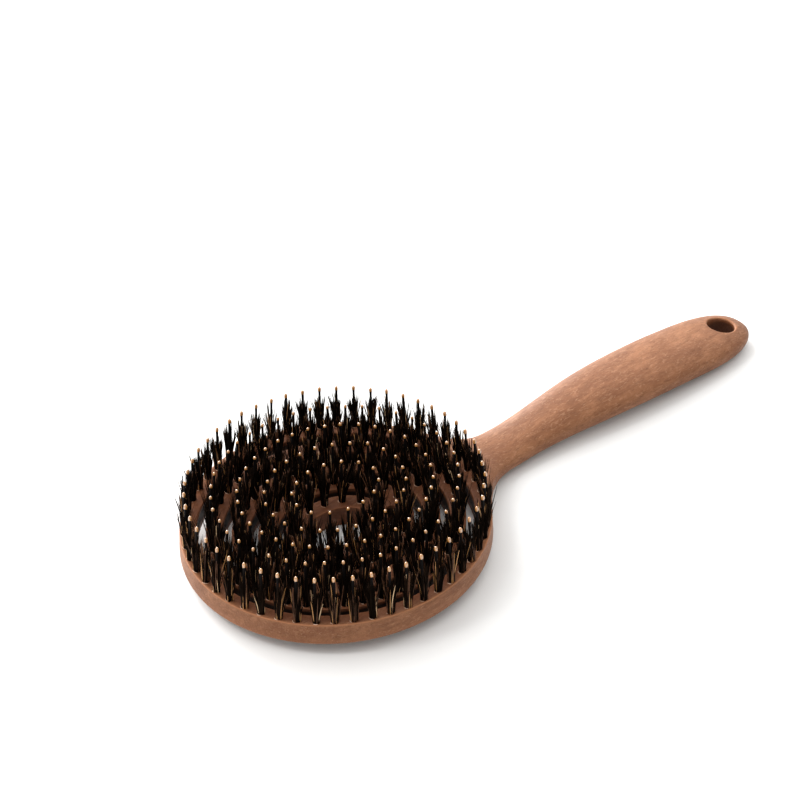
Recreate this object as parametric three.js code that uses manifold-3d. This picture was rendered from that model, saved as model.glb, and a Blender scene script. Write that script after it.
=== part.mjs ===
// Vented hairbrush with a flexing spiral head, lying on its back with the bristles up.
// Millimetres. Origin at mid-length on the resting plane, +X towards the handle's end, +Z up.
import * as THREE from 'three';
import Module from 'manifold-3d';

// Head: concentric oval rings, each joined to the next by one bridge.
const HEAD_X = -65.85; // head centre on the length axis
const PLATE = 7.5; // thickness of every ring
const RIM_OUTER = [50.3, 48.1]; // half length and half width of the rim
const HUB_HOLE = [11.7, 8.0]; // half length and half width of the middle opening
const SLOT_HALF = 1.5; // half the width of a slot
const BRIDGE_HALF = 2.65; // half the width of a bridge at its narrowest
const BRIDGE_GAP = 0.15; // half the parting gap across a bridge
const DISH = [0.00165, 0.00189]; // rise of the bristle face per square millimetre
const EDGE = 0.6; // softened back edges of the rings
const RIM_ROUND = 1.4; // rounded back edge of the rim
const RIM_DROP = 0.6; // how much deeper the rim is at its outer edge
const RIM_DRAFT = 0.35; // how far the rim's wall leans in towards the bristle face

// Tuft rows, from the rim to the hub: half length, half width, tufts, and tufts in each run.
const ROWS = [
  { name: 'rim', size: [47.2, 45.0], tufts: 52, run: 3 },
  { name: 'ring_2', size: [39.5, 36.6], tufts: 42, run: 3 },
  { name: 'ring_3', size: [31.4, 28.2], tufts: 34, run: 3 },
  { name: 'ring_4', size: [23.2, 19.6], tufts: 24, run: 3 },
  { name: 'hub', size: [14.6, 11.0], tufts: 14, run: 3 },
];
const SEGMENTS = [72, 60, 48, 40, 32]; // facets around each ring
const TUFT_START = -2.2; // turn of the first tuft of every row, degrees
const ROOT_SPREAD = 0.0225; // how much wider a row is at its roots than at its ball ends

// Tuft: a root, a spreading bundle of bristles and a taller pin with a ball end.
const ROOT_CLEAR = 0.3;
const ROOT_HALF = 1.1;
const BUNDLE_WAIST = 5.5; // height where the bundle starts to spread
const BUNDLE_WAIST_HALF = 1.25;
const BUNDLE_TOP = 12.6;
const BUNDLE_TOP_HALF = 2.1;
const CROTCH = 8.6; // height where neighbouring bundles meet
const PIN_HALF = 0.5;
const BALL_HALF = 0.75;
const BALL_LOW = 16.1;
const PIN_TOP = 17.1;

// Handle sections: distance from the head centre, half width, half thickness, centre height.
const HANDLE = [
  [41.0, 0, 0, 7.2],
  [43.0, 25.3, 3.2, 7.2],
  [46.0, 21.8, 3.6, 7.1],
  [49.0, 18.4, 3.7, 6.8],
  [52.5, 15.1, 3.8, 6.1],
  [57.0, 12.0, 3.8, 5.1],
  [60.5, 10.6, 3.9, 4.65],
  [65.0, 9.4, 4.0, 4.35],
  [71.0, 8.9, 4.2, 4.5],
  [80.0, 8.9, 4.7, 5.3],
  [92.0, 9.85, 5.3, 6.3],
  [104.0, 11.25, 5.5, 6.8],
  [117.0, 12.3, 5.55, 6.9],
  [131.0, 12.8, 5.6, 6.55],
  [145.0, 12.85, 5.6, 5.95],
  [157.0, 12.7, 5.3, 5.05],
  [166.5, 11.8, 4.9, 4.5],
  [173.5, 9.95, 4.1, 4.2],
  [178.8, 6.8, 2.75, 4.1],
  [181.3, 3.5, 1.5, 4.05],
  [182.0, 0, 0, 4.05],
];
const HANDLE_SIDES = 20;
const HANDLE_SQUARE = 2.35; // 2 is an ellipse, more is squarer
const RIM_OVERLAP = 1.2; // how far the handle runs into the rim's band
const HANG_X = 171.1; // hanging hole, from the head centre
const HANG_R = 5.1;
const HANG_FLARE = 0.4;
const HANG_FACES = [0.3, 8.5]; // heights of its mouths

const wasm = await Module();
wasm.setup();

function surface(color, roughness) {
  return new THREE.MeshStandardMaterial({ color, roughness, metalness: 0 });
}

const COMPOSITE = 0xb48a70;
const BRISTLE = 0x1b1512;

function dish(x, y) {
  return DISH[0] * x * x + DISH[1] * y * y;
}

function toSolid(geometry) {
  const position = geometry.getAttribute('position');
  const index = geometry.getIndex();
  const known = new Map();
  const points = [];
  const numberOf = (i) => {
    const p = [position.getX(i), position.getY(i), position.getZ(i)].map((c) => Math.round(c * 1e5) / 1e5);
    const key = p.join(',');
    if (!known.has(key)) {
      known.set(key, known.size);
      points.push(...p);
    }
    return known.get(key);
  };
  const corners = [];
  const count = index ? index.count : position.count;
  for (let i = 0; i < count; i += 3) {
    const [a, b, c] = [0, 1, 2].map((k) => numberOf(index ? index.getX(i + k) : i + k));
    if (a !== b && b !== c && c !== a) corners.push(a, b, c);
  }
  return new wasm.Manifold(
    new wasm.Mesh({
      numProp: 3,
      vertProperties: Float32Array.from(points),
      triVerts: Uint32Array.from(corners),
    }),
  );
}

function toGeometry(solid) {
  const mesh = solid.getMesh();
  const geometry = new THREE.BufferGeometry();
  geometry.setAttribute('position', new THREE.BufferAttribute(Float32Array.from(mesh.vertProperties), 3));
  geometry.setIndex(Array.from(mesh.triVerts));
  geometry.computeVertexNormals();
  return geometry;
}

function reshape(geometry, place) {
  const position = geometry.getAttribute('position');
  for (let i = 0; i < position.count; i += 1) {
    const [x, y, z] = place(i, position.getX(i), position.getY(i), position.getZ(i));
    position.setXYZ(i, x, y, z);
  }
  return geometry;
}

// Slot k lies midway between tuft rows k and k + 1. Its bridge is at the far end, then at the
// handle's end, and so on by turns.
function slotBetween(k) {
  const size = [0, 1].map((i) => (ROWS[k].size[i] + ROWS[k + 1].size[i]) / 2);
  return { size, side: k % 2 === 0 ? -1 : 1 };
}

// How far a slot's wall stands from the slot's middle line at angle t.
function wallOffset(slot, t) {
  const along = Math.cos(t) * slot.side;
  const across = Math.abs(slot.size[1] * Math.sin(t));
  if (along < 0 || across >= BRIDGE_HALF + SLOT_HALF) return SLOT_HALF;
  const depth = BRIDGE_HALF + SLOT_HALF - across;
  if (depth >= SLOT_HALF) return BRIDGE_GAP;
  return Math.max(BRIDGE_GAP, Math.sqrt(SLOT_HALF * SLOT_HALF - depth * depth));
}

function bridgeAngles(slot) {
  const angles = [];
  const middle = slot.side > 0 ? 0 : Math.PI;
  for (const turn of [0.1, 0.5, 1.0, Math.PI / 2]) {
    const across = BRIDGE_HALF + SLOT_HALF - SLOT_HALF * Math.cos(turn);
    const t = Math.asin(across / slot.size[1]);
    angles.push(middle + t, middle - t);
  }
  return angles;
}

function ringAngles(count, slots) {
  const full = Math.PI * 2;
  const wrap = (t) => ((t % full) + full) % full;
  const fine = slots.flatMap(bridgeAngles).map(wrap);
  const apart = (t, u) => Math.abs(wrap(t - u + Math.PI) - Math.PI);
  const even = Array.from({ length: count }, (_, i) => (full * i) / count);
  const kept = even.filter((t) => fine.every((u) => apart(t, u) > (0.35 * full) / count));
  return kept.concat(fine).sort((a, b) => a - b);
}

// Ring cross-section, anticlockwise: side 0 is the inner wall and 1 the outer wall,
// then the distance in from that wall and the height.
function ringSection() {
  return [[0, EDGE, 0], [1, EDGE, 0], [1, 0, EDGE], [1, 0, PLATE], [0, 0, PLATE], [0, 0, EDGE]];
}

function rimSection() {
  const middle = RIM_ROUND * 0.29;
  const outer = [
    [1, RIM_ROUND, -RIM_DROP],
    [1, middle, middle - RIM_DROP],
    [1, 0, RIM_ROUND - RIM_DROP],
    [1, RIM_DRAFT, PLATE],
  ];
  return [[0, EDGE, 0], ...outer, [0, 0, PLATE], [0, 0, EDGE]];
}

function ringGeometry(k) {
  const outerSlot = k > 0 ? slotBetween(k - 1) : null;
  const innerSlot = k < ROWS.length - 1 ? slotBetween(k) : null;
  const hub = !innerSlot;
  const angles = ringAngles(SEGMENTS[k], [outerSlot, innerSlot].filter(Boolean));
  const section = k === 0 ? rimSection() : ringSection();
  section.push(section[0]);
  const outline = section.map(([side, inset, height]) => new THREE.Vector2(10 + side * 5 - inset, height));
  const walls = (t) => {
    const outer = outerSlot ? outerSlot.size.map((r) => r - wallOffset(outerSlot, t)) : RIM_OUTER;
    const inner = innerSlot ? innerSlot.size.map((r) => r + wallOffset(innerSlot, t)) : HUB_HOLE;
    return [inner, outer].map(([a, b]) => new THREE.Vector2(a * Math.cos(t), b * Math.sin(t)));
  };
  const geometry = new THREE.LatheGeometry(outline, angles.length);
  return reshape(geometry, (i) => {
    const t = angles[Math.floor(i / section.length) % angles.length];
    const [side, inset, height] = section[i % section.length];
    const [inner, outer] = walls(t);
    const inward = inner.clone().sub(outer).normalize();
    const p = side ? outer.addScaledVector(inward, inset) : inner.addScaledVector(inward, -inset);
    const rise = hub && height === 0 ? 0 : dish(p.x, p.y);
    return [HEAD_X + p.x, p.y, height + rise];
  });
}

function handleGeometry() {
  const rows = HANDLE.length - 1;
  const geometry = new THREE.SphereGeometry(1, HANDLE_SIDES, rows);
  geometry.rotateZ(Math.PI / 2);
  const power = 2 / HANDLE_SQUARE;
  const soften = (v) => Math.sign(v) * Math.abs(v) ** power;
  return reshape(geometry, (i, x, y, z) => {
    const [along, half, thick, height] = HANDLE[Math.floor(i / (HANDLE_SIDES + 1))];
    const turn = Math.atan2(z, y);
    const reach = half * soften(Math.cos(turn));
    const up = height + thick * soften(Math.sin(turn));
    return [HEAD_X + along, half === 0 ? 0 : reach, half === 0 ? height : Math.max(0, up)];
  });
}

function insideRim() {
  const tool = new THREE.CylinderGeometry(1, 1, 4 * PLATE, 96);
  const slot = slotBetween(0).size;
  tool.rotateX(Math.PI / 2);
  tool.scale(slot[0] + SLOT_HALF + RIM_OVERLAP, slot[1] + SLOT_HALF + RIM_OVERLAP, 1);
  tool.translate(HEAD_X, 0, PLATE);
  return toSolid(tool);
}

function hangingHole() {
  const [low, high] = HANG_FACES;
  const past = 3;
  const profile = [
    [0, low - past],
    [HANG_R + HANG_FLARE + past, low - past],
    [HANG_R, low + HANG_FLARE],
    [HANG_R, high - HANG_FLARE],
    [HANG_R + HANG_FLARE + past, high + past],
    [0, high + past],
  ].map(([r, h]) => new THREE.Vector2(r, h));
  const tool = new THREE.LatheGeometry(profile, 24);
  tool.rotateX(Math.PI / 2);
  tool.translate(HEAD_X + HANG_X, 0, 0);
  return toSolid(tool);
}

function handleAndRim() {
  const grip = toSolid(handleGeometry()).subtract(insideRim()).subtract(hangingHole());
  return toGeometry(grip.add(toSolid(ringGeometry(0))));
}

// A table of distance around an oval, so that tufts can be spaced evenly along it.
function ovalWalk([a, b]) {
  const steps = 720;
  const distance = [0];
  for (let i = 1; i <= steps; i += 1) {
    const t = ((i - 0.5) / steps) * Math.PI * 2;
    const step = Math.hypot(a * Math.sin(t), b * Math.cos(t)) * ((Math.PI * 2) / steps);
    distance.push(distance[i - 1] + step);
  }
  const total = distance[steps];
  const angleAt = (s) => {
    const wanted = ((s % total) + total) % total;
    let i = 1;
    while (distance[i] < wanted) i += 1;
    const part = (wanted - distance[i - 1]) / (distance[i] - distance[i - 1]);
    return ((i - 1 + part) / steps) * Math.PI * 2;
  };
  return { total, angleAt };
}

// Side outline of a run of neighbouring tufts whose spread bristles meet.
function runOutline(count, pitch) {
  const corners = [];
  const last = (count - 1) * pitch;
  for (let i = 0; i < count; i += 1) {
    corners.push([i * pitch - ROOT_HALF, ROOT_CLEAR], [i * pitch + ROOT_HALF, ROOT_CLEAR]);
    if (i < count - 1) corners.push([(i + 0.5) * pitch, CROTCH]);
  }
  corners.push([last + BUNDLE_WAIST_HALF, BUNDLE_WAIST], [last + BUNDLE_TOP_HALF, BUNDLE_TOP]);
  for (let i = count - 1; i >= 0; i -= 1) {
    const s = i * pitch;
    corners.push([s + PIN_HALF, BUNDLE_TOP + 0.5], [s + BALL_HALF, BALL_LOW], [s, PIN_TOP]);
    corners.push([s - BALL_HALF, BALL_LOW], [s - PIN_HALF, BUNDLE_TOP + 0.5]);
    if (i > 0) corners.push([s - pitch / 2, BUNDLE_TOP - 0.4]);
  }
  corners.push([-BUNDLE_TOP_HALF, BUNDLE_TOP], [-BUNDLE_WAIST_HALF, BUNDLE_WAIST]);
  return corners;
}

function bundleDepth(height) {
  const levels = [
    [ROOT_CLEAR, ROOT_HALF],
    [BUNDLE_WAIST, BUNDLE_WAIST_HALF],
    [CROTCH, 1.55],
    [BUNDLE_TOP - 0.4, BUNDLE_TOP_HALF],
    [BUNDLE_TOP, BUNDLE_TOP_HALF],
    [BUNDLE_TOP + 0.5, PIN_HALF],
    [BALL_LOW, BALL_HALF],
    [PIN_TOP, 0.3],
  ];
  const i = Math.max(1, levels.findIndex(([h]) => h >= height - 1e-4));
  const [h0, d0] = levels[i - 1];
  const [h1, d1] = levels[i];
  return d0 + ((d1 - d0) * (height - h0)) / (h1 - h0);
}

function runGeometry(row, first, count) {
  const walk = ovalWalk(row.size);
  const pitch = walk.total / row.tufts;
  const start = walk.total * (TUFT_START / 360) + first * pitch;
  const outline = new THREE.Shape(runOutline(count, pitch).map(([s, h]) => new THREE.Vector2(s, h)));
  const slab = new THREE.ExtrudeGeometry(outline, { depth: 1, bevelEnabled: false });
  // The slab faces inwards, so that distance along the row, height and depth stay right-handed.
  const shaped = reshape(slab, (i, s, height, depth) => {
    const t = walk.angleAt(start + s);
    const centre = new THREE.Vector2(row.size[0] * Math.cos(t), row.size[1] * Math.sin(t));
    const outward = new THREE.Vector2(row.size[1] * Math.cos(t), row.size[0] * Math.sin(t)).normalize();
    const root = centre.clone().multiplyScalar(1 + ROOT_SPREAD);
    const axis = centre.clone().multiplyScalar(1 + ROOT_SPREAD * (1 - height / PIN_TOP));
    const p = axis.addScaledVector(outward, (depth * 2 - 1) * bundleDepth(height));
    return [HEAD_X + p.x, p.y, PLATE + dish(root.x, root.y) + height];
  });
  return toGeometry(toSolid(shaped));
}

function addNode(group, name, geometry, material) {
  const mesh = new THREE.Mesh(geometry, material);
  mesh.name = name;
  group.add(mesh);
}

function addRuns(group, row) {
  const runs = Math.floor(row.tufts / row.run) + (row.tufts % row.run > 1 ? 1 : 0);
  for (let i = 0; i < runs; i += 1) {
    const first = i * row.run;
    const count = i < runs - 1 ? row.run : row.tufts - first;
    const name = `${row.name}_tufts_${String(i + 1).padStart(2, '0')}`;
    addNode(group, name, runGeometry(row, first, count), surface(BRISTLE, 0.6));
  }
}

const brush = new THREE.Group();
brush.name = 'vanity_hairbrush';
addNode(brush, 'handle_and_rim', handleAndRim(), surface(COMPOSITE, 0.55));
for (let k = 1; k < ROWS.length; k += 1) {
  const name = k < ROWS.length - 1 ? ROWS[k].name : 'hub_ring';
  addNode(brush, name, toGeometry(toSolid(ringGeometry(k))), surface(COMPOSITE, 0.55));
}
for (const row of ROWS) addRuns(brush, row);

export default brush;
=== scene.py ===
import math

import bmesh
import bpy
import numpy as np
from mathutils import Matrix, Vector


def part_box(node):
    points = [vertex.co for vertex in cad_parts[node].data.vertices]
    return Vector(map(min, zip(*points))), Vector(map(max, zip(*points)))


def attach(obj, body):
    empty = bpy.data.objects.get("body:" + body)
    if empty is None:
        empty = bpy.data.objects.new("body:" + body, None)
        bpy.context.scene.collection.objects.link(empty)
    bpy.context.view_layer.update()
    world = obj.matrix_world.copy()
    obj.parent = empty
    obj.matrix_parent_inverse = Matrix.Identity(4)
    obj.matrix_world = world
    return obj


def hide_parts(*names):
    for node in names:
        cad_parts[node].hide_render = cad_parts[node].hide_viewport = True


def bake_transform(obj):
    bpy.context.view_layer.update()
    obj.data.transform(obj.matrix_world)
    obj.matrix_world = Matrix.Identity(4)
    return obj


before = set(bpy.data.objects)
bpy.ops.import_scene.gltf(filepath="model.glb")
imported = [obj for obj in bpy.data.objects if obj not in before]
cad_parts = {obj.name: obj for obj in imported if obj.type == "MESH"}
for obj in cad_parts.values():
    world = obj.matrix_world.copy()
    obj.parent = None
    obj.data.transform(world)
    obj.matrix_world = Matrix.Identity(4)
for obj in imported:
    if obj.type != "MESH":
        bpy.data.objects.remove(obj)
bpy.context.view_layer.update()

# Shapes are worked out in millimetres from the head's centre and turned into metres of the row
# frame when a piece is made. Ovals are given by their half length and half width.
MM = 0.001
PLATE = 7.5  # thickness of the head
RIM_OUTER = (50.3, 48.1)
RIM_DROP = 0.6  # how far the rim's back edge hangs below the plate
RIM_DRAFT = 0.35  # how far the rim's wall leans in towards the top
HUB_HOLE = (11.7, 8.0)
SLOT_HALF = 1.5
BRIDGE_HALF = 2.65
DISH = (0.00165, 0.00189)  # doming along and across the head
FLAT_RISE = (0.40, 0.62)  # rises between which the flat middle of the back turns into the dome

# Each ring of the head with its row of tufts, from the outside in.
ROWS = [
    {"name": "rim", "node": "handle_and_rim", "body": "handle", "size": (47.2, 45.0), "tufts": 52},
    {"name": "ring_2", "node": "ring_2", "body": "second_ring", "size": (39.5, 36.6), "tufts": 42},
    {"name": "ring_3", "node": "ring_3", "body": "third_ring", "size": (31.4, 28.2), "tufts": 34},
    {"name": "ring_4", "node": "ring_4", "body": "fourth_ring", "size": (23.2, 19.6), "tufts": 24},
    {"name": "hub", "node": "hub_ring", "body": "hub", "size": (14.6, 11.0), "tufts": 14},
]
HUB = len(ROWS) - 1
HEAD_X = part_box("handle_and_rim")[0].x / MM + RIM_OUTER[0]

# Rounded edges, and the steps that sweep the moulding.
TOP_ROUND = 0.35
BACK_ROUND = 0.8
RIM_BACK_ROUND = 1.5
TOP_STEPS = 3
BACK_STEPS = 5
WALL_SHARES = (0.0, 0.4, 0.8, 0.93, 1.0)
ACROSS = 6
RIM_STEPS = 250
RING_STEP = 1.0
ARM_STEPS = 10
BRIDGE_STEPS = 14
SHARP_ROUND = 0.06  # what is left of a ring's rounded edge where its child's bridge runs on
SHARP_FADE = 1.6
LEAST_EASE = 0.05
WELD = 1e-7
CREASE = 38

# Pale edges and painted shade that are stored at the moulding's points. The pale edges are partly
# rubbed wear and partly a painted highlight; the painted shade darkens the slots, the hole's bore
# and the bristle face.
# A fade is a pair of distances from an edge between which the shade sets in, except that the rim's
# is in shares of the rim's size.
WEAR_AND_HIGHLIGHT_FOLD = 0.12  # fold in radians where the pale edge starts: partly rubbed wear, partly a painted highlight
WEAR_AND_HIGHLIGHT_RANGE = 0.35
RIM_FADE = (0.93, 1.0)
SLOT_FADE = (0.3, 1.3)
HUB_WALL = 1.15  # the hub hole's wall ends at this share of the hole's size
HUB_WALL_SHADE = 0.72
FACE_FADE = (0.5, 3.0)
FACE_SHADE = 0.6
BORE_FADE = (0.0, 2.0)
BORE_SHADE = 0.85
BORE_ENDS = (0.3, 8.0)
BORE_SLACK = 0.1

# The handle's hanging hole.
HANG_X = 171.1
HANG_R = 5.0
HANG_ROUND = 0.55
HANG_ROUND_STEPS = 5
HANG_MARGINS = (1.2, 0.9)  # least flat round its mouth, before and beyond it
HANG_COLUMNS = 4  # columns left whole at each side
HANG_SHARES = (0.35, 0.7, 1.0)
BORE_STEPS = 6

# Tufts and their holes. A pin's end stands over its row's oval, and its root a little further out.
TUFT_R = 1.17
TUFT_START = -2.2  # where a row starts, in degrees of its walk round the oval
ROOT_SPREAD = 0.0225
PIN_TOP = 17.1
RUN = 3  # tufts in a piece, as in the CAD
BURR_STEPS, BURR_SIDES = 9, 6
BURR_SEED = 900
TUFT_SEED = 4100


def smooth(low, high, value):
    share = np.clip((value - low) / (high - low), 0.0, 1.0)
    return share * share * (3 - 2 * share)


def dish(x, y):
    """Rise of the bristle face, level beyond the rim's edge."""
    beyond = np.maximum(1.0, np.hypot(x / RIM_OUTER[0], y / RIM_OUTER[1]))
    return DISH[0] * (x / beyond) ** 2 + DISH[1] * (y / beyond) ** 2


def back(x, y):
    """Rise of the head's back, which is flat under the hub."""
    rise = dish(x, y)
    return rise * smooth(*FLAT_RISE, rise)


def surface_height(x, y, height):
    """Height of a point that is height above the back in the moulding's own thickness."""
    share = height / PLATE
    return height + (1 - share) * back(x, y) + share * dish(x, y)


def slot_between(k):
    """The oval midline of the slot inside ring k, and its bridge's side: 1 handle, -1 far end."""
    size = [(ROWS[k]["size"][i] + ROWS[k + 1]["size"][i]) / 2 for i in (0, 1)]
    return size, (-1 if k % 2 == 0 else 1)


class Shape:
    """Points and faces of a mesh while it is being built."""

    def __init__(self):
        self.points = []
        self.faces = []

    def point(self, x, y, z):
        self.points.append((x, y, z))
        return len(self.points) - 1

    def strip(self, one, two):
        """Quads between two rows of points of the same length."""
        for corners in zip(one, one[1:], two[1:], two):
            face = list(dict.fromkeys(corners))
            if len(face) > 2:
                self.faces.append(face)


def close_seams(mesh):
    """Welds points that lie on each other and turns every face outwards."""
    bm = bmesh.new()
    bm.from_mesh(mesh)
    bmesh.ops.remove_doubles(bm, verts=bm.verts, dist=WELD)
    bmesh.ops.recalc_face_normals(bm, faces=bm.faces)
    bm.to_mesh(mesh)
    bm.free()


def mark_wear_and_painted_light(mesh):
    """Stores the pale sharp edges, partly rubbed wear and partly a painted highlight, and the
    painted shade in the slots, the hole's bore and on the bristle face.
    """
    bm = bmesh.new()
    bm.from_mesh(mesh)
    bend = [max((e.calc_face_angle(0.0) for e in v.link_edges), default=0.0) for v in bm.verts]
    place = np.array([v.co for v in bm.verts]) / MM
    bm.free()
    # Pale sharp edges: partly rubbed wear, partly a painted highlight of the lit edge line.
    wear_and_highlight = mesh.attributes.new("edge_wear_and_highlight", "FLOAT", "POINT")
    wear_and_highlight.data.foreach_set("value", np.clip((np.array(bend) - WEAR_AND_HIGHLIGHT_FOLD) / WEAR_AND_HIGHLIGHT_RANGE, 0.0, 1.0))
    x, y, z = place[:, 0] - HEAD_X, place[:, 1], place[:, 2]
    below, above = PLATE + dish(x, y) - z, z - back(x, y)
    inside = 1 - smooth(*RIM_FADE, np.hypot(x / RIM_OUTER[0], y / RIM_OUTER[1]))
    hub_wall = np.hypot(x / HUB_HOLE[0], y / HUB_HOLE[1]) < HUB_WALL
    # Painted shade down the slot walls, a little lighter on the hub hole's wall.
    slot = smooth(*SLOT_FADE, np.minimum(below, above)) * np.where(hub_wall, HUB_WALL_SHADE, 1.0)
    # Painted shade on the bristle face, where the bristles' shadow falls.
    painted_face_shade = FACE_SHADE * (1 - smooth(*FACE_FADE, below))
    head = inside * np.maximum(slot, painted_face_shade)
    # Painted shade down the hanging hole's bore.
    in_bore = np.hypot(x - HANG_X, y) < HANG_R + BORE_SLACK
    bore = BORE_SHADE * smooth(*BORE_FADE, np.minimum(BORE_ENDS[1] - z, z - BORE_ENDS[0]))
    painted_shade = mesh.attributes.new("painted_shade", "FLOAT", "POINT")
    painted_shade.data.foreach_set("value", np.where(in_bore, bore, head))


def make_piece(name, shape, materials, slots, moulded=True):
    """A smooth shaded object in metres of the row frame. slots says each face's material."""
    points = np.array(shape.points, float)
    points[:, 0] += HEAD_X
    mesh = bpy.data.meshes.new(name)
    mesh.from_pydata((points * MM).tolist(), [], shape.faces)
    for material in materials:
        mesh.materials.append(material)
    mesh.polygons.foreach_set("material_index", slots)
    if moulded:
        close_seams(mesh)
        mark_wear_and_painted_light(mesh)
    mesh.shade_smooth()
    if moulded:
        mesh.set_sharp_from_angle(angle=math.radians(CREASE))
    mesh.update()
    piece = bpy.data.objects.new(name, mesh)
    bpy.context.scene.collection.objects.link(piece)
    return piece


# ---------------------------------------------------------------- moulding


def edge_round(radius, steps, first, last):
    """(inset, rise) pairs of a quarter round from turn first to turn last, ends left out."""
    turns = [first + (last - first) * i / steps for i in range(1, steps)]
    return [(radius * (1 - math.cos(t)), radius * (1 - math.sin(t))) for t in turns]


def wall_profile(back_round, top_round, drop=0.0, draft=0.0):
    """(inset, height) pairs up a wall, between the back's last point and the top's first."""
    low = [(i, h - drop) for i, h in edge_round(back_round, BACK_STEPS, math.pi / 2, 0)]
    foot, head = back_round - drop, PLATE - top_round
    wall = [(draft * share, foot + (head - foot) * share) for share in WALL_SHARES]
    high = [(draft + i, PLATE - h) for i, h in edge_round(top_round, TOP_STEPS, 0, math.pi / 2)]
    return low + wall + high


RIM_WALL = wall_profile(RIM_BACK_ROUND, TOP_ROUND, RIM_DROP, RIM_DRAFT)


def flattened(height, keep):
    """A height on a wall whose two rounded edges are shrunk to a share of their size."""
    if height > PLATE - TOP_ROUND:
        return PLATE - (PLATE - height) * keep
    return height * keep if height < BACK_ROUND else height


def ring_angles(count, sector, sector_steps, side):
    """Angles round a ring. The sector where its arm joins comes first, evenly divided."""
    centre = 0.0 if side > 0 else math.pi
    rest = 2 * math.pi - 2 * sector
    inside = [centre - sector + 2 * sector * i / sector_steps for i in range(sector_steps + 1)]
    outside = [centre + sector + rest * i / count for i in range(1, count)]
    return inside, outside


def ring_body(shape, k, sector, sector_steps, side, count):
    """The swept ring k, with no outer wall over the sector where its arm joins: its bridge, or
    the handle. Returns the rows of points that the arm grows from."""
    outer = RIM_OUTER if k == 0 else [r - SLOT_HALF for r in slot_between(k - 1)[0]]
    inner = HUB_HOLE if k == HUB else [r + SLOT_HALF for r in slot_between(k)[0]]
    child_side = slot_between(k)[1] if k < HUB else 0
    rim = k == 0
    back_round = RIM_BACK_ROUND if rim else BACK_ROUND
    outer_wall = RIM_WALL if rim else wall_profile(BACK_ROUND, TOP_ROUND)
    inner_wall = wall_profile(BACK_ROUND, TOP_ROUND)[::-1]
    inside, outside = ring_angles(count, sector, sector_steps, side)
    sections = []
    for number, t in enumerate(inside + outside):
        out_at = np.array([outer[0] * math.cos(t), outer[1] * math.sin(t)])
        in_at = np.array([inner[0] * math.cos(t), inner[1] * math.sin(t)])
        inward = (in_at - out_at) / np.linalg.norm(in_at - out_at)
        keep = 1.0
        if child_side and math.cos(t) * child_side > 0:
            edge = BRIDGE_HALF + SLOT_HALF
            away = float(smooth(edge, edge + SHARP_FADE, abs(in_at[1])))
            keep = SHARP_ROUND + (1 - SHARP_ROUND) * away

        def put(start, direction, inset, height):
            x, y = start + direction * inset
            return shape.point(x, y, float(surface_height(x, y, height)))

        def row(height, drop, round_out, round_in):
            a = out_at + inward * round_out
            step = (in_at - inward * round_in - a) / ACROSS
            return [put(a, step, i, height - drop * (1 - i / ACROSS)) for i in range(ACROSS + 1)]

        has_wall = number == 0 or number >= sector_steps
        section = {
            "back": row(0.0, RIM_DROP if rim else 0.0, back_round, BACK_ROUND * keep)[::-1],
            "wall": [put(out_at, inward, i, h) for i, h in outer_wall] if has_wall else None,
            "top": row(PLATE, 0.0, TOP_ROUND + (RIM_DRAFT if rim else 0.0), TOP_ROUND * keep),
            "bore": [put(in_at, -inward, i * keep, flattened(h, keep)) for i, h in inner_wall],
        }
        sections.append(section)
    for one, two in zip(sections, sections[1:] + sections[:1]):
        shape.strip(one["back"], two["back"])
        shape.strip(one["top"], two["top"])
        shape.strip([one["top"][-1]] + one["bore"] + [one["back"][0]],
                    [two["top"][-1]] + two["bore"] + [two["back"][0]])
        if one["wall"] and two["wall"] and one is not sections[0]:
            shape.strip([one["back"][-1]] + one["wall"] + [one["top"][0]],
                        [two["back"][-1]] + two["wall"] + [two["top"][0]])
    arm = sections[: sector_steps + 1]
    return {
        "top": [s["top"][0] for s in arm],
        "back": [s["back"][-1] for s in arm],
        "first": arm[0]["wall"],
        "last": arm[-1]["wall"],
    }


def join_stations(shape, stations):
    """Skin over a row of stations, each a dict of top and back rows and the two side walls."""
    for one, two in zip(stations, stations[1:]):
        shape.strip(two["top"], one["top"])
        shape.strip(one["back"], two["back"])
        shape.strip([two["back"][-1]] + two["last"] + [two["top"][-1]],
                    [one["back"][-1]] + one["last"] + [one["top"][-1]])
        shape.strip([one["back"][0]] + one["first"] + [one["top"][0]],
                    [two["back"][0]] + two["first"] + [two["top"][0]])


def bridge(shape, k, base):
    """The bridge from ring k out to its parent, between the two rounded slot ends."""
    slot, side = slot_between(k - 1)
    walls = wall_profile(BACK_ROUND, TOP_ROUND)
    stations = [base]
    spread = [2 * i / ARM_STEPS - 1 for i in range(ARM_STEPS + 1)]
    for number in range(1, BRIDGE_STEPS + 1):
        turn = -math.pi / 2 + math.pi * number / BRIDGE_STEPS
        ease = 1.0 if turn < 0 else max(LEAST_EASE, math.cos(turn))

        def at(inset, height, v):
            d = SLOT_HALF * math.sin(turn) + inset * ease * math.sin(turn)
            half = BRIDGE_HALF + SLOT_HALF - (SLOT_HALF + inset * ease) * math.cos(turn)
            t = math.asin(half / (slot[1] + d)) * v
            x = (slot[0] + d) * math.cos(t) * side
            y = (slot[1] + d) * math.sin(t) * side
            return shape.point(x, y, float(surface_height(x, y, flattened(height, ease))))

        stations.append({
            "top": [at(TOP_ROUND, PLATE, v) for v in spread],
            "back": [at(BACK_ROUND, 0.0, v) for v in spread],
            "first": [at(i, h, -1.0) for i, h in walls],
            "last": [at(i, h, 1.0) for i, h in walls],
        })
    join_stations(shape, stations)
    end = stations[-1]
    shape.faces.append(end["back"] + end["last"] + end["top"][::-1] + end["first"][::-1])


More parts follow.
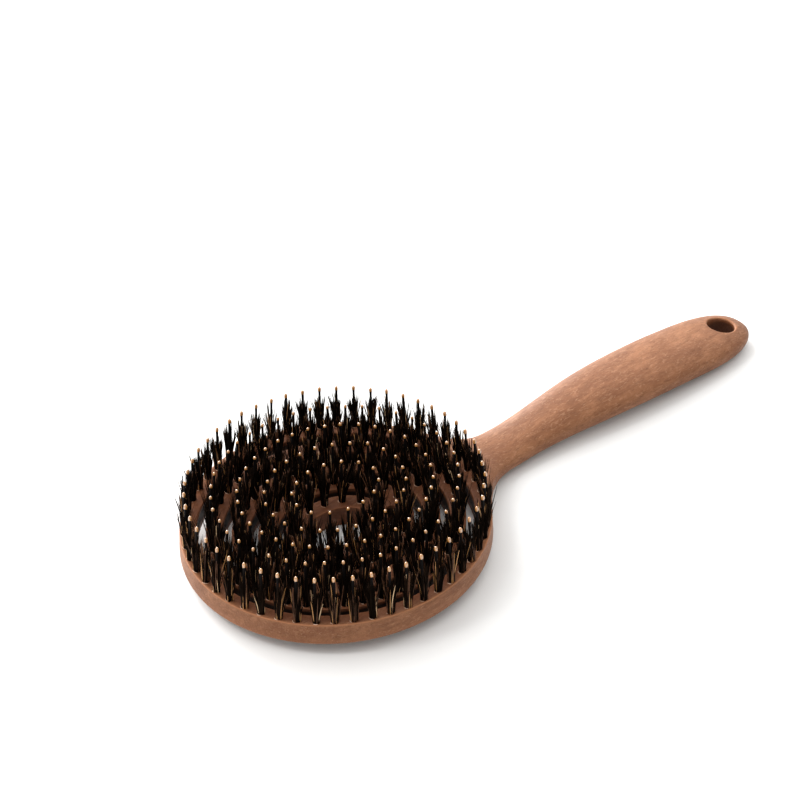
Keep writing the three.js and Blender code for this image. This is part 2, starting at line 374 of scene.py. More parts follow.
def add_burrs(shape, k, rng):
    """A thin crescent of raised composite at one side of each drilled tuft hole."""
    for root, _ in tuft_places(ROWS[k]):
        centre = math.pi + rng.normal(0, 0.45)
        span = rng.uniform(0.6, 2.0)
        reach = TUFT_R + rng.uniform(0.06, 0.16)
        thick = rng.uniform(0.07, 0.15)
        rows = []
        for i in range(BURR_STEPS + 1):
            t = centre + span * (i / BURR_STEPS - 0.5)
            swell = math.sin(math.pi * i / BURR_STEPS) ** 0.7
            r = 0.02 + thick * swell * rng.uniform(0.8, 1.2)
            row = []
            for j in range(BURR_SIDES):
                turn = 2 * math.pi * j / BURR_SIDES
                out = reach + r * math.cos(turn)
                x, y = root[0] + out * math.cos(t), root[1] + out * math.sin(t)
                lift = 0.02 + r * math.sin(turn)
                row.append(shape.point(x, y, PLATE + float(dish(x, y)) + lift))
            rows.append(row)
        for one, two in zip(rows, rows[1:]):
            shape.strip(one + one[:1], two + two[:1])
        shape.faces.append(rows[0][::-1])
        shape.faces.append(rows[-1])


def moulding_piece(name, shape, k, materials):
    """The moulding's own faces in the first material, its holes' burrs in the second."""
    plain = len(shape.faces)
    add_burrs(shape, k, np.random.default_rng(BURR_SEED + k))
    slots = [0] * plain + [1] * (len(shape.faces) - plain)
    return make_piece(name, shape, materials, slots)


def ring_piece(k, materials):
    """Ring k with the bridge to its parent."""
    slot, side = slot_between(k - 1)
    outer = [r - SLOT_HALF for r in slot]
    sector = math.asin((BRIDGE_HALF + SLOT_HALF) / outer[1])
    count = int(2 * math.pi * outer[0] / RING_STEP)
    shape = Shape()
    base = ring_body(shape, k, sector, ARM_STEPS, side, count)
    bridge(shape, k, base)
    piece = moulding_piece(f"{ROWS[k]['name']}_moulding", shape, k, materials)
    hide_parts(ROWS[k]["node"])
    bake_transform(piece)


# Handle: distance from the head centre, half width, half thickness, centre height.
HANDLE = [
    (43.0, 25.3, 3.2, 7.2),
    (49.0, 18.6, 3.7, 6.8),
    (57.0, 12.0, 3.8, 5.1),
    (60.5, 10.5, 3.9, 4.65),
    (65.0, 9.4, 4.0, 4.35),
    (71.0, 8.9, 4.2, 4.5),
    (80.0, 8.9, 4.7, 5.3),
    (92.0, 9.85, 5.3, 6.3),
    (104.0, 11.25, 5.5, 6.8),
    (117.0, 12.3, 5.55, 6.9),
    (131.0, 12.8, 5.6, 6.55),
    (145.0, 12.85, 5.6, 5.95),
    (157.0, 12.7, 5.3, 5.05),
]
TIP = 182.0
TIP_FROM = 145.0
SQUARE = 2.35  # power of the cross-section's superellipse
TOP_COLUMNS = 24
TOP_SHARE = 0.9  # how much of the half width belongs to the top and back rows, not to the wall

# The concave side from the rim to the neck, and the stations along the handle.
FILLET_SECTOR_Y = 28.0
FILLET_END = 68.0
FILLET_PULLS = (11.5, 12.5)
FILLET_STEPS = 14
SAG_FADE = 1.3
HANDLE_STEP = 2.5
STEPS_TO = 148.0
TIP_STEPS = 22
TIP_CROWDING = 1.9  # power that crowds the last stations together at the tip
RIM_MIX = 12  # stations over which the rim's cross-section turns into the handle's


def handle_at(x):
    """(half width, half thickness, centre height) at a distance from the head centre."""
    if x > TIP_FROM:
        # The rounded end starts with the table's numbers there and closes at the tip.
        u = min(1.0, (x - TIP_FROM) / (TIP - TIP_FROM))
        half = 12.85 * (1 - u ** 3.23) ** (1 / 2.2)
        thick = 5.15 * (1 - u ** 3.8) ** 0.5 + 0.45 * (1 - u) ** 2
        return half, thick, 4.05 + 1.9 * (1 - u) ** 1.58
    xs = [row[0] for row in HANDLE]
    i = max(1, min(len(xs) - 3, int(np.searchsorted(xs, x)) - 1))
    p0, p1, p2, p3 = HANDLE[i - 1], HANDLE[i], HANDLE[i + 1], HANDLE[i + 2]
    u = (x - p1[0]) / (p2[0] - p1[0])
    out = []
    for c in (1, 2, 3):
        m1 = (p2[c] - p0[c]) / (p2[0] - p0[0]) * (p2[0] - p1[0])
        m2 = (p3[c] - p1[c]) / (p3[0] - p1[0]) * (p2[0] - p1[0])
        a = 2 * u ** 3 - 3 * u ** 2 + 1
        b = u ** 3 - 2 * u ** 2 + u
        out.append(a * p1[c] + b * m1 + (1 - a) * p2[c] + (u ** 3 - u ** 2) * m2)
    return tuple(out)


def handle_surface(x, y, sign):
    """Height of the handle's top (sign 1) or back (sign -1) over a point."""
    half, thick, centre = handle_at(x)
    v = min(0.999, abs(y) / half)
    return max(0.0, centre + sign * thick * (1 - v ** SQUARE) ** (1 / SQUARE))


def fillet_curve(u):
    """Point and direction of the concave curve from the rim's outer edge to the neck's side."""
    t = math.asin(FILLET_SECTOR_Y / RIM_OUTER[1])
    p0 = np.array([RIM_OUTER[0] * math.cos(t), FILLET_SECTOR_Y])
    along = np.array([RIM_OUTER[0] * math.sin(t), -RIM_OUTER[1] * math.cos(t)])
    p3 = np.array([FILLET_END, handle_at(FILLET_END)[0]])
    p1 = p0 + along / np.linalg.norm(along) * FILLET_PULLS[0]
    p2 = p3 - np.array([FILLET_PULLS[1], 0.0])
    v = 1 - u
    point = v ** 3 * p0 + 3 * v ** 2 * u * p1 + 3 * v * u * u * p2 + u ** 3 * p3
    slope = 3 * (v ** 2 * (p1 - p0) + 2 * v * u * (p2 - p1) + u * u * (p3 - p2))
    return point, slope / np.linalg.norm(slope)


def handle_station(shape, edge, inward, sag, beta):
    """One cross-section, part rim and part handle as beta goes from 0 to 1. edge is its outermost
    point, inward the way in from there, and sag how far its middle lies beyond its edges."""
    _, thick, centre = handle_at(edge[0] + sag)
    half = edge[1]

    def mixed(rim_point, height, turn):
        """turn goes round the side, from the handle's top at 90 degrees to its back at -90."""
        x, y = rim_point
        rim_z = float(surface_height(x, y, height))
        power = 2 / SQUARE
        reach = half * math.copysign(abs(math.cos(turn)) ** power, math.cos(turn))
        up = centre + thick * math.copysign(abs(math.sin(turn)) ** power, math.sin(turn))
        side = 1 if y >= 0 else -1
        hx = edge[0] + sag * max(0.0, 1 - (reach / half) ** 2)
        return ((1 - beta) * x + beta * hx,
                (1 - beta) * y + beta * side * reach,
                (1 - beta) * rim_z + beta * max(0.0, up))

    def row(inset, height, sign):
        out = []
        corner = edge + inward * inset
        for i in range(TOP_COLUMNS + 1):
            v = 2 * i / TOP_COLUMNS - 1
            rim_point = (corner[0] + sag * (1 - v * v), corner[1] * v)
            reach = abs(v) * TOP_SHARE
            turn = sign * math.acos(min(1.0, reach ** (SQUARE / 2)))
            out.append(shape.point(*mixed(rim_point, height, turn)))
        return out

    corner_turn = math.acos(TOP_SHARE ** (SQUARE / 2))
    wall = {}
    for key, side in (("first", -1), ("last", 1)):
        wall[key] = []
        for i, (inset, height) in enumerate(RIM_WALL):
            turn = -corner_turn + 2 * corner_turn * (i + 1) / (len(RIM_WALL) + 1)
            p = edge + inward * inset
            wall[key].append(shape.point(*mixed((p[0], side * p[1]), height, turn)))
    top = row(TOP_ROUND + RIM_DRAFT, PLATE, 1)
    return {"top": top, "back": row(RIM_BACK_ROUND, -RIM_DROP, -1), **wall}


def handle_stations():
    """Edge point, inward direction, sag and share of handle shape of every station."""
    sag = RIM_OUTER[0] - fillet_curve(0)[0][0]
    out = []
    for i in range(1, FILLET_STEPS + 1):
        u = i / FILLET_STEPS
        edge, along = fillet_curve(u)
        out.append((edge, np.array([along[1], -along[0]]), sag * (1 - u) ** SAG_FADE))
    xs = [FILLET_END]
    while xs[-1] < STEPS_TO:
        xs.append(xs[-1] + HANDLE_STEP)
    start = xs[-1]
    for i in range(1, TIP_STEPS):
        xs.append(start + (TIP - start) * (1 - (1 - i / TIP_STEPS) ** TIP_CROWDING))
    for x in xs[1:]:
        out.append((np.array([x, handle_at(x)[0]]), np.array([0.0, -1.0]), 0.0))
    return [(*station, float(smooth(0, RIM_MIX, i + 1))) for i, station in enumerate(out)]


def patch_loop(rows, first, last, left, right):
    """Points round the edge of a patch of rows, in order."""
    loop = [rows[first][j] for j in range(left, right + 1)]
    loop += [rows[i][right] for i in range(first + 1, last + 1)]
    loop += [rows[last][j] for j in range(right - 1, left - 1, -1)]
    loop += [rows[i][left] for i in range(last - 1, first, -1)]
    return loop


def hole_mouth(shape, loop, sign):
    """Rows of points from a patch's edge in and round the hanging hole's mouth, top or back."""
    centre = np.array([HANG_X, 0.0])
    rows = [loop]
    flat = [np.array(shape.points[v][:2]) - centre for v in loop]
    mouth = HANG_R + HANG_ROUND
    for share in HANG_SHARES:
        row = []
        for p in flat:
            far = np.linalg.norm(p)
            q = centre + p / far * (far + (mouth - far) * share)
            row.append(shape.point(q[0], q[1], handle_surface(q[0], q[1], sign)))
        rows.append(row)
    for step in range(1, HANG_ROUND_STEPS + 1):
        turn = step / HANG_ROUND_STEPS * math.pi / 2
        row = []
        for p in flat:
            way = p / np.linalg.norm(p)
            q = centre + way * (HANG_R + HANG_ROUND * (1 - math.sin(turn)))
            m = centre + way * mouth
            z = handle_surface(m[0], m[1], sign) - sign * HANG_ROUND * (1 - math.cos(turn))
            row.append(shape.point(q[0], q[1], z))
        rows.append(row)
    return rows


def hanging_hole(shape, stations):
    """Cuts the hole's patch out of the top and back and lines it with a rounded bore."""
    xs = [shape.points[s["top"][TOP_COLUMNS // 2]][0] for s in stations]
    reach = HANG_R + HANG_ROUND
    first = max(i for i, x in enumerate(xs) if x < HANG_X - reach - HANG_MARGINS[0])
    last = min(i for i, x in enumerate(xs) if x > HANG_X + reach + HANG_MARGINS[1])
    left, right = HANG_COLUMNS, TOP_COLUMNS - HANG_COLUMNS
    mouths = []
    for key, sign in (("top", 1), ("back", -1)):
        rows = [s[key] for s in stations]
        inside = {rows[i][j] for i in range(first, last + 1) for j in range(left, right + 1)}
        shape.faces = [f for f in shape.faces if not all(v in inside for v in f)]
        loop = patch_loop(rows, first, last, left, right)
        mouths.append(hole_mouth(shape, loop + loop[:1], sign))
    top, under = mouths
    for one, two in zip(top, top[1:]):
        shape.strip(one, two)
    for one, two in zip(under, under[1:]):
        shape.strip(two, one)
    bore = [top[-1]]
    for step in range(1, BORE_STEPS):
        share = step / BORE_STEPS
        row = []
        for a, b in zip(top[-1], under[-1]):
            point = np.array(shape.points[a]) * (1 - share) + np.array(shape.points[b]) * share
            row.append(shape.point(*point))
        bore.append(row)
    bore.append(under[-1])
    for one, two in zip(bore, bore[1:]):
        shape.strip(one, two)


def drop_loose_points(shape):
    """Forgets the points that the hole's patches leave without a face."""
    used = sorted({v for f in shape.faces for v in f})
    new = {v: i for i, v in enumerate(used)}
    shape.points = [shape.points[v] for v in used]
    shape.faces = [[new[v] for v in f] for f in shape.faces]


def handle_piece(materials):
    """The rim and the handle in one skin."""
    shape = Shape()
    sector = math.asin(FILLET_SECTOR_Y / RIM_OUTER[1])
    stations = [ring_body(shape, 0, sector, TOP_COLUMNS, 1, RIM_STEPS)]
    stations += [handle_station(shape, *station) for station in handle_stations()]
    join_stations(shape, stations)
    tip = shape.point(TIP, 0.0, handle_at(TIP)[2])
    end = stations[-1]
    around = end["back"] + end["last"] + end["top"][::-1] + end["first"][::-1]
    for a, b in zip(around, around[1:] + around[:1]):
        shape.faces.append([a, b, tip])
    hanging_hole(shape, stations)
    drop_loose_points(shape)
    piece = moulding_piece("handle_and_rim_moulding", shape, 0, materials)
    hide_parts("handle_and_rim")
    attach(piece, "handle")


# ------------------------------------------------------------------- tufts

# The first value is for the rim's tufts and the second for the inner rings'.
LOOSE_STRANDS = (48, 70)
LIT_STRANDS = (5, 3)
GLINTS = (0.05, 0.03)  # chance that a bristle takes a pale tone as a painted glint
TALLER = (0.0, 0.8)
BALL_RADIUS = (0.56, 0.50)
BALL_LENGTH = (1.75, 1.2)

ROOT_DEPTH = 0.4  # how far bristles and pins are sunk into the moulding
CLUMPS = 13
CLUMP_STRANDS = 7
CLUMP_TURN = 2.4  # turn in radians from one clump to the next, which fills the hole evenly
CLUMP_REACH = 1.3  # most that a clump leans outwards
CLUMP_HEIGHT = (11.0, 1.6)  # mean and deviation
CLUMP_LIMITS = (7.5, 13.9)
LOOSE_REACH = 2.6
LOOSE_HEIGHT = (7.0, 14.0)
LEAST_HEIGHT = 6.0
THICKNESS = (0.11, 0.155)
LIT_HEIGHT = (5.0, 9.5)
LIT_THICKNESS = (0.09, 0.125)
LEVELS = np.linspace(0.0, 1.0, 5)
TAPER = np.array([1.0, 1.0, 0.94, 0.78, 0.3])
STRAND_SIDES = 4

# Bristle tones, and how often each is drawn for a plain bristle and for a glint, whose pale tones
# are a painted highlight.
TONES = ["black", "umber", "auburn", "golden", "pale"]
TONE_SHARES = [0.72, 0.22, 0.06, 0.0, 0.0]
GLINT_SHARES = [0.0, 0.0, 0.45, 0.43, 0.12]

PIN_SIDES = 14
BALL_STEPS = 8
BALL_WIDEST = 0.42  # share of the ball's height at which it is widest
BALL_TURNS = (0.42, 0.57)  # where its rings start and how far they go, in half turns


def oval_walk(size):
    """Length of an oval and the angle at each distance along it."""
    t = np.linspace(0, 2 * math.pi, 1441)
    middle = (t[1:] + t[:-1]) / 2
    step = np.hypot(size[0] * np.sin(middle), size[1] * np.cos(middle)) * (t[1] - t[0])
    distance = np.concatenate([[0], np.cumsum(step)])
    return distance[-1], lambda s: np.interp(s % distance[-1], distance, t)


def tuft_places(row):
    """Where each tuft's pin ends, and where its root stands, a little further out."""
    total, angle_at = oval_walk(row["size"])
    places = []
    for i in range(row["tufts"]):
        t = angle_at(total * (TUFT_START / 360) + total * i / row["tufts"])
        tip = np.array([row["size"][0] * math.cos(t), row["size"][1] * math.sin(t)])
        places.append((tip * (1 + ROOT_SPREAD), -tip * ROOT_SPREAD / PIN_TOP))
    return places


def way_out(angle):
    """Unit direction in the plane of the head."""
    return np.array([math.cos(angle), math.sin(angle)])


def draw_tone(rng, shares):
    return int(rng.choice(len(TONES), p=shares))


class Bundle:
    """Points, faces and material slots of a run of tufts while it is being built."""

    def __init__(self):
        self.points = []
        self.faces = []
        self.slots = []
        self.count = 0

    def tube(self, rings, slots):
        """Closed tube through rings of points, an array of rings by sides by 3."""
        n, sides = rings.shape[:2]
        start = self.count
        self.points.append(rings.reshape(-1, 3))
        self.count += n * sides
        for i in range(n - 1):
            low = start + i * sides
            for j in range(sides):
                a, b = low + j, low + (j + 1) % sides
                self.faces.append((a, b, b + sides, a + sides))
            self.slots.extend([slots[i]] * sides)
        last = start + (n - 1) * sides
        self.faces.append(tuple(range(last, last + sides)))
        self.faces.append(tuple(range(start + sides - 1, start - 1, -1)))
        self.slots.extend([slots[-1], slots[0]])


def add_strand(bundle, base, tip, bow, thick, tone, twist):
    """One bristle that leaves base upright and bends over to its thin tip."""
    ease = LEVELS ** 1.6
    path = base + np.outer(ease, tip - base) + np.outer(np.sin(math.pi * LEVELS), bow)
    path[:, 2] = base[2] + LEVELS * (tip[2] - base[2])
    turn = twist + np.arange(STRAND_SIDES) * 2 * math.pi / STRAND_SIDES
    circle = np.stack([np.cos(turn), np.sin(turn), np.zeros(STRAND_SIDES)], 1)
    rings = path[:, None, :] + circle[None] * (thick * TAPER)[:, None, None]
    bundle.tube(rings, [tone] * len(LEVELS))


def add_bristles(bundle, root, lean, k, rng):
    """Clumps of bristles that stick together at their tips, then loose ones round and between
    them, then a few straight pale ones on the outside as a painted highlight of bristles catching
    light."""
    inner = min(k, 1)
    lean = lean + rng.normal(0, 0.03, 2)
    floor = root[2] - ROOT_DEPTH
    turn = rng.uniform(0, 2 * math.pi)
    for clump in range(CLUMPS + 1):
        loose = clump == CLUMPS
        way = turn + clump * CLUMP_TURN + rng.normal(0, 0.25)
        near = TUFT_R * 0.94 * math.sqrt((clump + 0.5) / CLUMPS)
        far = near * rng.uniform(0.95, 1.3) + CLUMP_REACH * rng.uniform() ** 1.8
        tall = rng.normal(CLUMP_HEIGHT[0] + TALLER[inner], CLUMP_HEIGHT[1])
        tall = float(np.clip(tall, *CLUMP_LIMITS))
        main = draw_tone(rng, TONE_SHARES)
        pull = rng.uniform(0.15, 0.8)
        side = rng.normal(0, 0.24, 2)
        for _ in range(LOOSE_STRANDS[inner] if loose else CLUMP_STRANDS):
            if loose:
                way = rng.uniform(0, 2 * math.pi)
                near = TUFT_R * rng.uniform(0.55, 0.97)
                far = near + LOOSE_REACH * rng.uniform() ** 1.4
                tall = rng.uniform(LOOSE_HEIGHT[0] + TALLER[inner], LOOSE_HEIGHT[1])
                main = draw_tone(rng, TONE_SHARES)
                side = rng.normal(0, 0.4, 2)
            heart = way_out(way)
            spot = way_out(way + rng.normal(0, 0.3)) * near * rng.uniform(0.8, 1.03)
            height = max(LEAST_HEIGHT, tall + rng.normal(0, 0.7))
            end = root[:2] + lean * height + heart * far * (height / 12)
            end = end + (spot - heart * near) * pull + side + rng.normal(0, 0.12, 2)
            base = np.array([*(root[:2] + spot), floor])
            tip = np.array([*end, root[2] + height])
            bow = np.array([*(heart * rng.uniform(-0.1, 0.16) + rng.normal(0, 0.07, 2)), 0.0])
            tone = draw_tone(rng, GLINT_SHARES) if rng.uniform() < GLINTS[inner] else main
            add_strand(bundle, base, tip, bow, rng.uniform(*THICKNESS), tone, rng.uniform(0, 1.5))
    # Straight pale strands on the tuft's outside: a painted highlight.
    for _ in range(LIT_STRANDS[inner]):
        heart = way_out(rng.uniform(0, 2 * math.pi))
        height = rng.uniform(*LIT_HEIGHT)
        foot = root[:2] + heart * TUFT_R * 1.02
        end = foot + lean * height + heart * rng.uniform(-0.1, 0.4) + rng.normal(0, 0.15, 2)
        tone = draw_tone(rng, GLINT_SHARES)
        add_strand(bundle, np.array([*foot, floor]), np.array([*end, root[2] + height]),
                   np.zeros(3), rng.uniform(*LIT_THICKNESS), tone, rng.uniform(0, 1.5))


def add_pin(bundle, root, lean, k, rng):
    """A nylon pin that widens into a cup under its drop of amber resin."""
    inner = min(k, 1)
    lean = lean + rng.normal(0, 0.008, 2)
    top = PIN_TOP + rng.uniform(-0.2, 0.1)
    wide = BALL_RADIUS[inner] * rng.uniform(0.94, 1.06)
    low = top - BALL_LENGTH[inner] * rng.uniform(0.93, 1.04)
    # (height, radius) up the pin and its cup, then round the ball to its top.
    rings = [(-ROOT_DEPTH, 0.5), (4.5, 0.46), (9.5, 0.42), (low - 1.4, 0.40), (low - 0.45, 0.42),
             (low - 0.1, 0.47), (low + 0.15, 0.93 * wide), (low + 0.24, 0.98 * wide)]
    collar = len(rings) - 1
    middle = low + BALL_WIDEST * (top - low)
    for i in range(BALL_STEPS):
        turn = math.pi * (BALL_TURNS[0] + BALL_TURNS[1] * i / (BALL_STEPS - 1))
        reach = (top - middle) if turn > math.pi / 2 else (middle - low)
        rings.append((middle - math.cos(turn) * reach, wide * math.sin(turn)))
    turn = np.arange(PIN_SIDES) * 2 * math.pi / PIN_SIDES
    levels = np.array([h for h, _ in rings])
    radii = np.array([r for _, r in rings])
    shift = np.outer(np.maximum(levels, 0.0), lean)
    points = np.zeros((len(rings), PIN_SIDES, 3))
    points[:, :, 0] = root[0] + shift[:, :1] + radii[:, None] * np.cos(turn)
    points[:, :, 1] = root[1] + shift[:, 1:] + radii[:, None] * np.sin(turn)
    points[:, :, 2] = root[2] + levels[:, None]
    nylon, resin = len(TONES), len(TONES) + 1
    bundle.tube(points, [nylon] * collar + [resin] * (len(rings) - collar))


def tuft_pieces(k, materials):
    """Ring k's tufts, in a piece for each of its CAD nodes. The last takes what is left over."""
    row = ROWS[k]
    places = tuft_places(row)
    nodes = sorted(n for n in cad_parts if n.startswith(f"{row['name']}_tufts_"))
    rng = np.random.default_rng(TUFT_SEED + k)
    for i, node in enumerate(nodes):
        mine = places[i * RUN: (i + 1) * RUN] if i < len(nodes) - 1 else places[i * RUN:]
        bundle = Bundle()
        for spot, lean in mine:
            root = np.array([*spot, PLATE + float(dish(*spot))])
            add_bristles(bundle, root, lean, k, rng)
            add_pin(bundle, root, lean, k, rng)
        shape = Shape()
        shape.points = np.concatenate(bundle.points).tolist()
        shape.faces = bundle.faces
        name = node.replace("tufts", "tuft_run")
        piece = make_piece(name, shape, materials, bundle.slots, moulded=False)
        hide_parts(node)
        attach(piece, row["body"])


# --------------------------------------------------------------- materials

# The composite's tints. All colours are linear.
CLOUD_TINTS = ((0.166, 0.064, 0.0285), (0.258, 0.112, 0.053))
STREAK_TINT = (0.134, 0.052, 0.023)
PALE_TINT = (0.415, 0.226, 0.128)
SCRATCH_TINT = (0.072, 0.027, 0.012)
FLECK_TINT = (0.100, 0.048, 0.030)
# Pale sharp edges: partly rubbed wear, partly a painted highlight.
EDGE_WEAR_AND_HIGHLIGHT_TINT = (0.371, 0.156, 0.071)
# Painted shade: the bristle face's tint, and the near black of the slots and the hole's bore.
PAINTED_FACE_SHADE_TINT = (0.078, 0.0130, 0.002)
PAINTED_RECESS_SHADE_TINT = (0.008, 0.003, 0.002)
CUT_TINTS = ((0.360, 0.200, 0.125), (0.680, 0.470, 0.340))

# Colour, roughness and specular level of each bristle tone, the pins and their resin.
TONE_LOOKS = {
    "black": ((0.004, 0.002, 0.001), 0.75, 0.02),
    "umber": ((0.012, 0.006, 0.003), 0.70, 0.04),
    "auburn": ((0.090, 0.036, 0.015), 0.45, 0.25),
    # Golden and pale are real pale bristle colours that, as glints and lit strands, also serve as
    # a painted highlight.
    "golden": ((0.480, 0.235, 0.080), 0.34, 0.50),
    "pale": ((0.740, 0.500, 0.280), 0.34, 0.50),
}
NYLON_LOOK = ((0.004, 0.003, 0.003), 0.60, 0.05)
RESIN_LOOK = ((0.430, 0.190, 0.046), 0.18, 1.0)


def new_material(name):
    material = bpy.data.materials.new(name)
    material.use_nodes = True
    tree = material.node_tree
    return material, tree, tree.nodes["Principled BSDF"]


def object_coordinates(tree, stretch=(1, 1, 1)):
    """Coordinates for a pattern. A stretch under 1 draws it out along that axis."""
    place = tree.nodes.new("ShaderNodeTexCoord")
    mapping = tree.nodes.new("ShaderNodeMapping")
    mapping.inputs["Scale"].default_value = stretch
    tree.links.new(place.outputs["Object"], mapping.inputs["Vector"])
    return mapping.outputs["Vector"]


def noise(tree, where, scale, detail=3.0, roughness=0.55, distortion=0.0):
    node = tree.nodes.new("ShaderNodeTexNoise")
    node.inputs["Scale"].default_value = scale
    node.inputs["Detail"].default_value = detail
    node.inputs["Roughness"].default_value = roughness
    node.inputs["Distortion"].default_value = distortion
    tree.links.new(where, node.inputs["Vector"])
    return node.outputs["Fac"]


def fibres(tree, stretch, *pattern):
    """Noise drawn out along the handle."""
    return noise(tree, object_coordinates(tree, (stretch, 1, 1)), *pattern)


def spread(tree, value, low, high, to_low=0.0, to_high=1.0):
    """A value's range from low to high, laid out from to_low to to_high and cut off there."""
    node = tree.nodes.new("ShaderNodeMapRange")
    node.inputs["From Min"].default_value = low
    node.inputs["From Max"].default_value = high
    node.inputs["To Min"].default_value = to_low
    node.inputs["To Max"].default_value = to_high
    tree.links.new(value, node.inputs["Value"])
    return node.outputs["Result"]


def mix_colour(tree, share, one, two):
    node = tree.nodes.new("ShaderNodeMix")
    node.data_type = "RGBA"
    tree.links.new(share, node.inputs["Factor"])
    for key, colour in (("A", one), ("B", two)):
        if isinstance(colour, tuple):
            node.inputs[key].default_value = (*colour, 1.0)
        else:
            tree.links.new(colour, node.inputs[key])
    return node.outputs["Result"]


def stored(tree, name):
    """A value kept at the mesh's points."""
    node = tree.nodes.new("ShaderNodeAttribute")
    node.attribute_name = name
    return node.outputs["Fac"]


def times(tree, one, two):
    node = tree.nodes.new("ShaderNodeMath")
    node.operation = "MULTIPLY"
    tree.links.new(one, node.inputs[0])
    tree.links.new(two, node.inputs[1])
    return node.outputs["Value"]


def composite_material():
    """Moulded wood-fibre composite: clouded orange brown with streaks and flecks of fibre drawn
    out along the handle, paler on sharp edges, partly rubbed wear and partly a painted highlight,
    and with painted shade on the bristle face, in the slots and in the hole."""
    material, tree, shader = new_material("wood_fibre_composite")
    cloud = fibres(tree, 0.40, 130, 4, 0.65, 0.6)
    streak = fibres(tree, 0.24, 620, 4, 0.65, 1.0)
    scratch = fibres(tree, 0.22, 1500, 4, 0.65, 1.6)
    fleck = fibres(tree, 0.55, 2300, 3, 0.6, 0.8)
    pale = fibres(tree, 0.32, 1250, 4, 0.65, 1.4)

    def over(colour, pattern, low, high, most, tint):
        return mix_colour(tree, spread(tree, pattern, low, high, 0.0, most), colour, tint)

    colour = mix_colour(tree, spread(tree, cloud, 0.34, 0.66), *CLOUD_TINTS)
    colour = over(colour, streak, 0.42, 0.70, 0.65, STREAK_TINT)
    colour = over(colour, pale, 0.52, 0.74, 0.55, PALE_TINT)
    colour = over(colour, scratch, 0.56, 0.70, 0.75, SCRATCH_TINT)
    colour = over(colour, fleck, 0.60, 0.74, 0.5, FLECK_TINT)
    # Pale tint on sharp edges: partly rubbed wear, partly a painted highlight of the lit edge.
    worn_and_lit = times(tree, stored(tree, "edge_wear_and_highlight"), spread(tree, streak, 0.3, 0.62, 0.35, 0.85))
    colour = mix_colour(tree, worn_and_lit, colour, EDGE_WEAR_AND_HIGHLIGHT_TINT)
    # Painted shade: darker on the bristle face, near black down the slots and the hole's bore.
    painted_shade = stored(tree, "painted_shade")
    colour = over(colour, painted_shade, 0.0, 0.6, 0.5, PAINTED_FACE_SHADE_TINT)
    colour = over(colour, painted_shade, 0.65, 1.0, 0.93, PAINTED_RECESS_SHADE_TINT)
    tree.links.new(colour, shader.inputs["Base Color"])
    tree.links.new(spread(tree, streak, 0.3, 0.7, 0.42, 0.58), shader.inputs["Roughness"])
    shader.inputs["Specular IOR Level"].default_value = 0.16
    bump = tree.nodes.new("ShaderNodeBump")
    bump.inputs["Strength"].default_value = 0.7
    bump.inputs["Distance"].default_value = 0.00012
    tree.links.new(fibres(tree, 0.3, 1300, 5, 0.66, 0.6), bump.inputs["Height"])
    tree.links.new(bump.outputs["Normal"], shader.inputs["Normal"])
    return material


def burr_material():
    """Freshly cut composite, paler and rougher than the moulded skin."""
    material, tree, shader = new_material("cut_composite")
    grain = noise(tree, object_coordinates(tree), 2200, 3, 0.6)
    colour = mix_colour(tree, spread(tree, grain, 0.35, 0.65), *CUT_TINTS)
    tree.links.new(colour, shader.inputs["Base Color"])
    tree.links.new(spread(tree, grain, 0.3, 0.7, 0.5, 0.75), shader.inputs["Roughness"])
    return material


def strand_material(name, colour, rough, gloss):
    """One colour, with a roughness that varies in grain drawn out along the strand."""
    material, tree, shader = new_material(name)
    shader.inputs["Base Color"].default_value = (*colour, 1.0)
    grain = noise(tree, object_coordinates(tree, (1, 1, 0.25)), 2600, 2)
    rough = spread(tree, grain, 0.3, 0.7, rough - 0.08, rough + 0.1)
    tree.links.new(rough, shader.inputs["Roughness"])
    shader.inputs["Specular IOR Level"].default_value = gloss
    return material


def tuft_materials():
    """The tones in their order, then the pins' nylon and the ball ends' resin."""
    materials = [strand_material(f"boar_bristle_{tone}", *TONE_LOOKS[tone]) for tone in TONES]
    materials.append(strand_material("nylon_pin_black", *NYLON_LOOK))
    resin = strand_material("ball_end_amber", *RESIN_LOOK)
    shader = resin.node_tree.nodes["Principled BSDF"]
    shader.inputs["IOR"].default_value = 1.6
    shader.inputs["Coat Weight"].default_value = 1.0
    shader.inputs["Coat Roughness"].default_value = 0.12
    shader.inputs["Coat IOR"].default_value = 1.7
    materials.append(resin)
    return materials


# ------------------------------------------------------------------- stage

FLOOR_HALF = 3.0
FLOOR_GAP = 0.00005  # keeps the floor's plane out of the brush's flat feet

# The dome's strength grows from DIM to BRIGHT towards the bright side.
BRIGHT_SIDE = (0.12, 0.74, 0.60)
DIM, BRIGHT = 0.70, 2.15

# Name, place, target, size and power: a wide soft box behind the far side, a lower and narrower
# one that lies in the handle's gloss, and a small one that puts a spot on each ball end.
LIGHTS = [
    ("key", (-0.40, 1.25, 0.78), (0, 0, 0), 2.6, 17.0),
    ("band", (0.15, 1.45, 0.42), (0.06, 0, 0), 1.1, 46.0),
    ("glint", (-0.75, 0.35, 1.10), (0, 0, 0), 0.24, 3.4),
]

# The camera's aim in the row frame, its distance from there, and its angles.
AIM = (-0.00965, 0.0387, 0.0075)
DISTANCE = 0.7016
HEADING = math.radians(38.14)
DROP = math.radians(37.89)
ROLL = math.radians(-0.5)
LENS, SENSOR = 92.76, 36.0


def make_floor():
    mesh = bpy.data.meshes.new("floor")
    corners = [(-1, -1), (1, -1), (1, 1), (-1, 1)]
    points = [(x * FLOOR_HALF, y * FLOOR_HALF, -FLOOR_GAP) for x, y in corners]
    mesh.from_pydata(points, [], [(0, 1, 2, 3)])
    material, _, shader = new_material("pale_floor")
    shader.inputs["Base Color"].default_value = (0.73, 0.73, 0.725, 1.0)
    shader.inputs["Roughness"].default_value = 0.65
    shader.inputs["Specular IOR Level"].default_value = 0.2
    mesh.materials.append(material)
    floor = bpy.data.objects.new("floor", mesh)
    bpy.context.scene.collection.objects.link(floor)


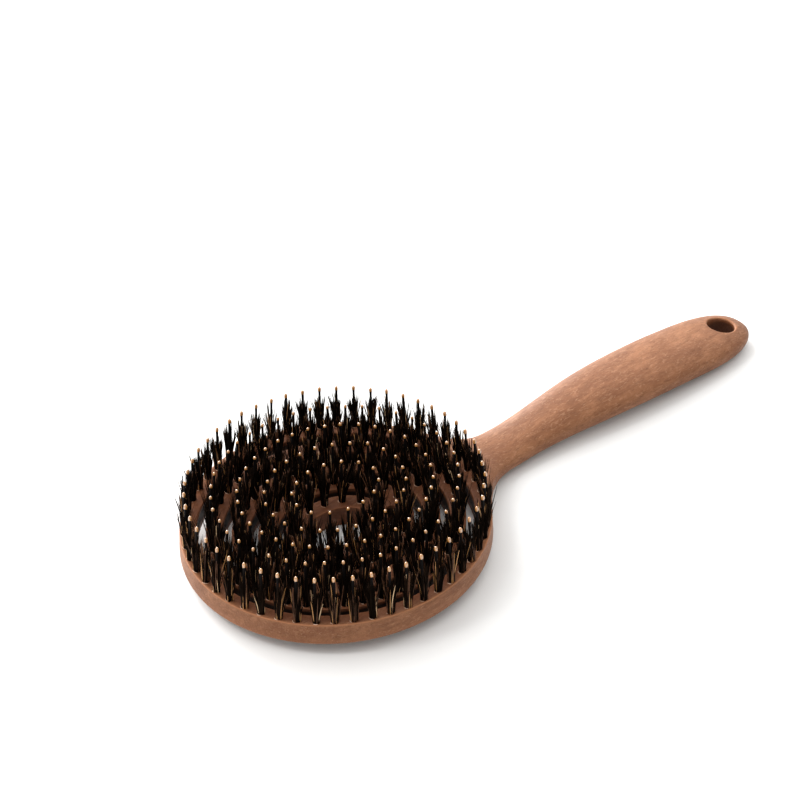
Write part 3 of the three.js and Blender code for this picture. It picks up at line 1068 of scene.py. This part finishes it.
def soft_light(name, place, target, size, power):
    data = bpy.data.lights.new(name, "AREA")
    data.shape = "DISK"
    data.size = size
    data.energy = power
    light = bpy.data.objects.new(name, data)
    light.location = place
    light.rotation_euler = (Vector(target) - Vector(place)).to_track_quat("-Z", "Y").to_euler()
    bpy.context.scene.collection.objects.link(light)


def make_lights():
    """A pale dome that is brighter behind the brush's far side, and the three soft lights."""
    world = bpy.data.worlds.new("studio")
    world.use_nodes = True
    tree = world.node_tree
    background = tree.nodes["Background"]
    background.inputs["Color"].default_value = (1.0, 0.995, 0.985, 1.0)
    place = tree.nodes.new("ShaderNodeTexCoord")
    toward = tree.nodes.new("ShaderNodeVectorMath")
    toward.operation = "DOT_PRODUCT"
    toward.inputs[1].default_value = Vector(BRIGHT_SIDE).normalized()
    tree.links.new(place.outputs["Generated"], toward.inputs[0])
    level = spread(tree, toward.outputs["Value"], -0.3, 1.0, DIM, BRIGHT)
    tree.links.new(level, background.inputs["Strength"])
    bpy.context.scene.world = world
    for light in LIGHTS:
        soft_light(*light)


def make_camera():
    """The view of the copy that lies bristles up: from the far end's side, 38 degrees above."""
    flat = math.cos(DROP)
    forward = Vector((flat * math.sin(HEADING), flat * math.cos(HEADING), -math.sin(DROP)))
    level = Vector((math.cos(HEADING), -math.sin(HEADING), 0))
    right = (Matrix.Rotation(ROLL, 3, -forward) @ level).normalized()
    up = right.cross(forward)
    data = bpy.data.cameras.new("camera")
    data.lens = LENS
    data.sensor_width = SENSOR
    camera = bpy.data.objects.new("camera", data)
    turn = Matrix((right, up, -forward)).transposed()
    camera.matrix_world = Matrix.Translation(Vector(AIM) - forward * DISTANCE) @ turn.to_4x4()
    bpy.context.scene.collection.objects.link(camera)
    bpy.context.scene.camera = camera
    bpy.context.scene.view_settings.view_transform = "Standard"


make_camera()
make_floor()
make_lights()
composite = [composite_material(), burr_material()]
handle_piece(composite)
for k in range(1, len(ROWS)):
    ring_piece(k, composite)
tuft_finish = tuft_materials()
for k in range(len(ROWS)):
    tuft_pieces(k, tuft_finish)
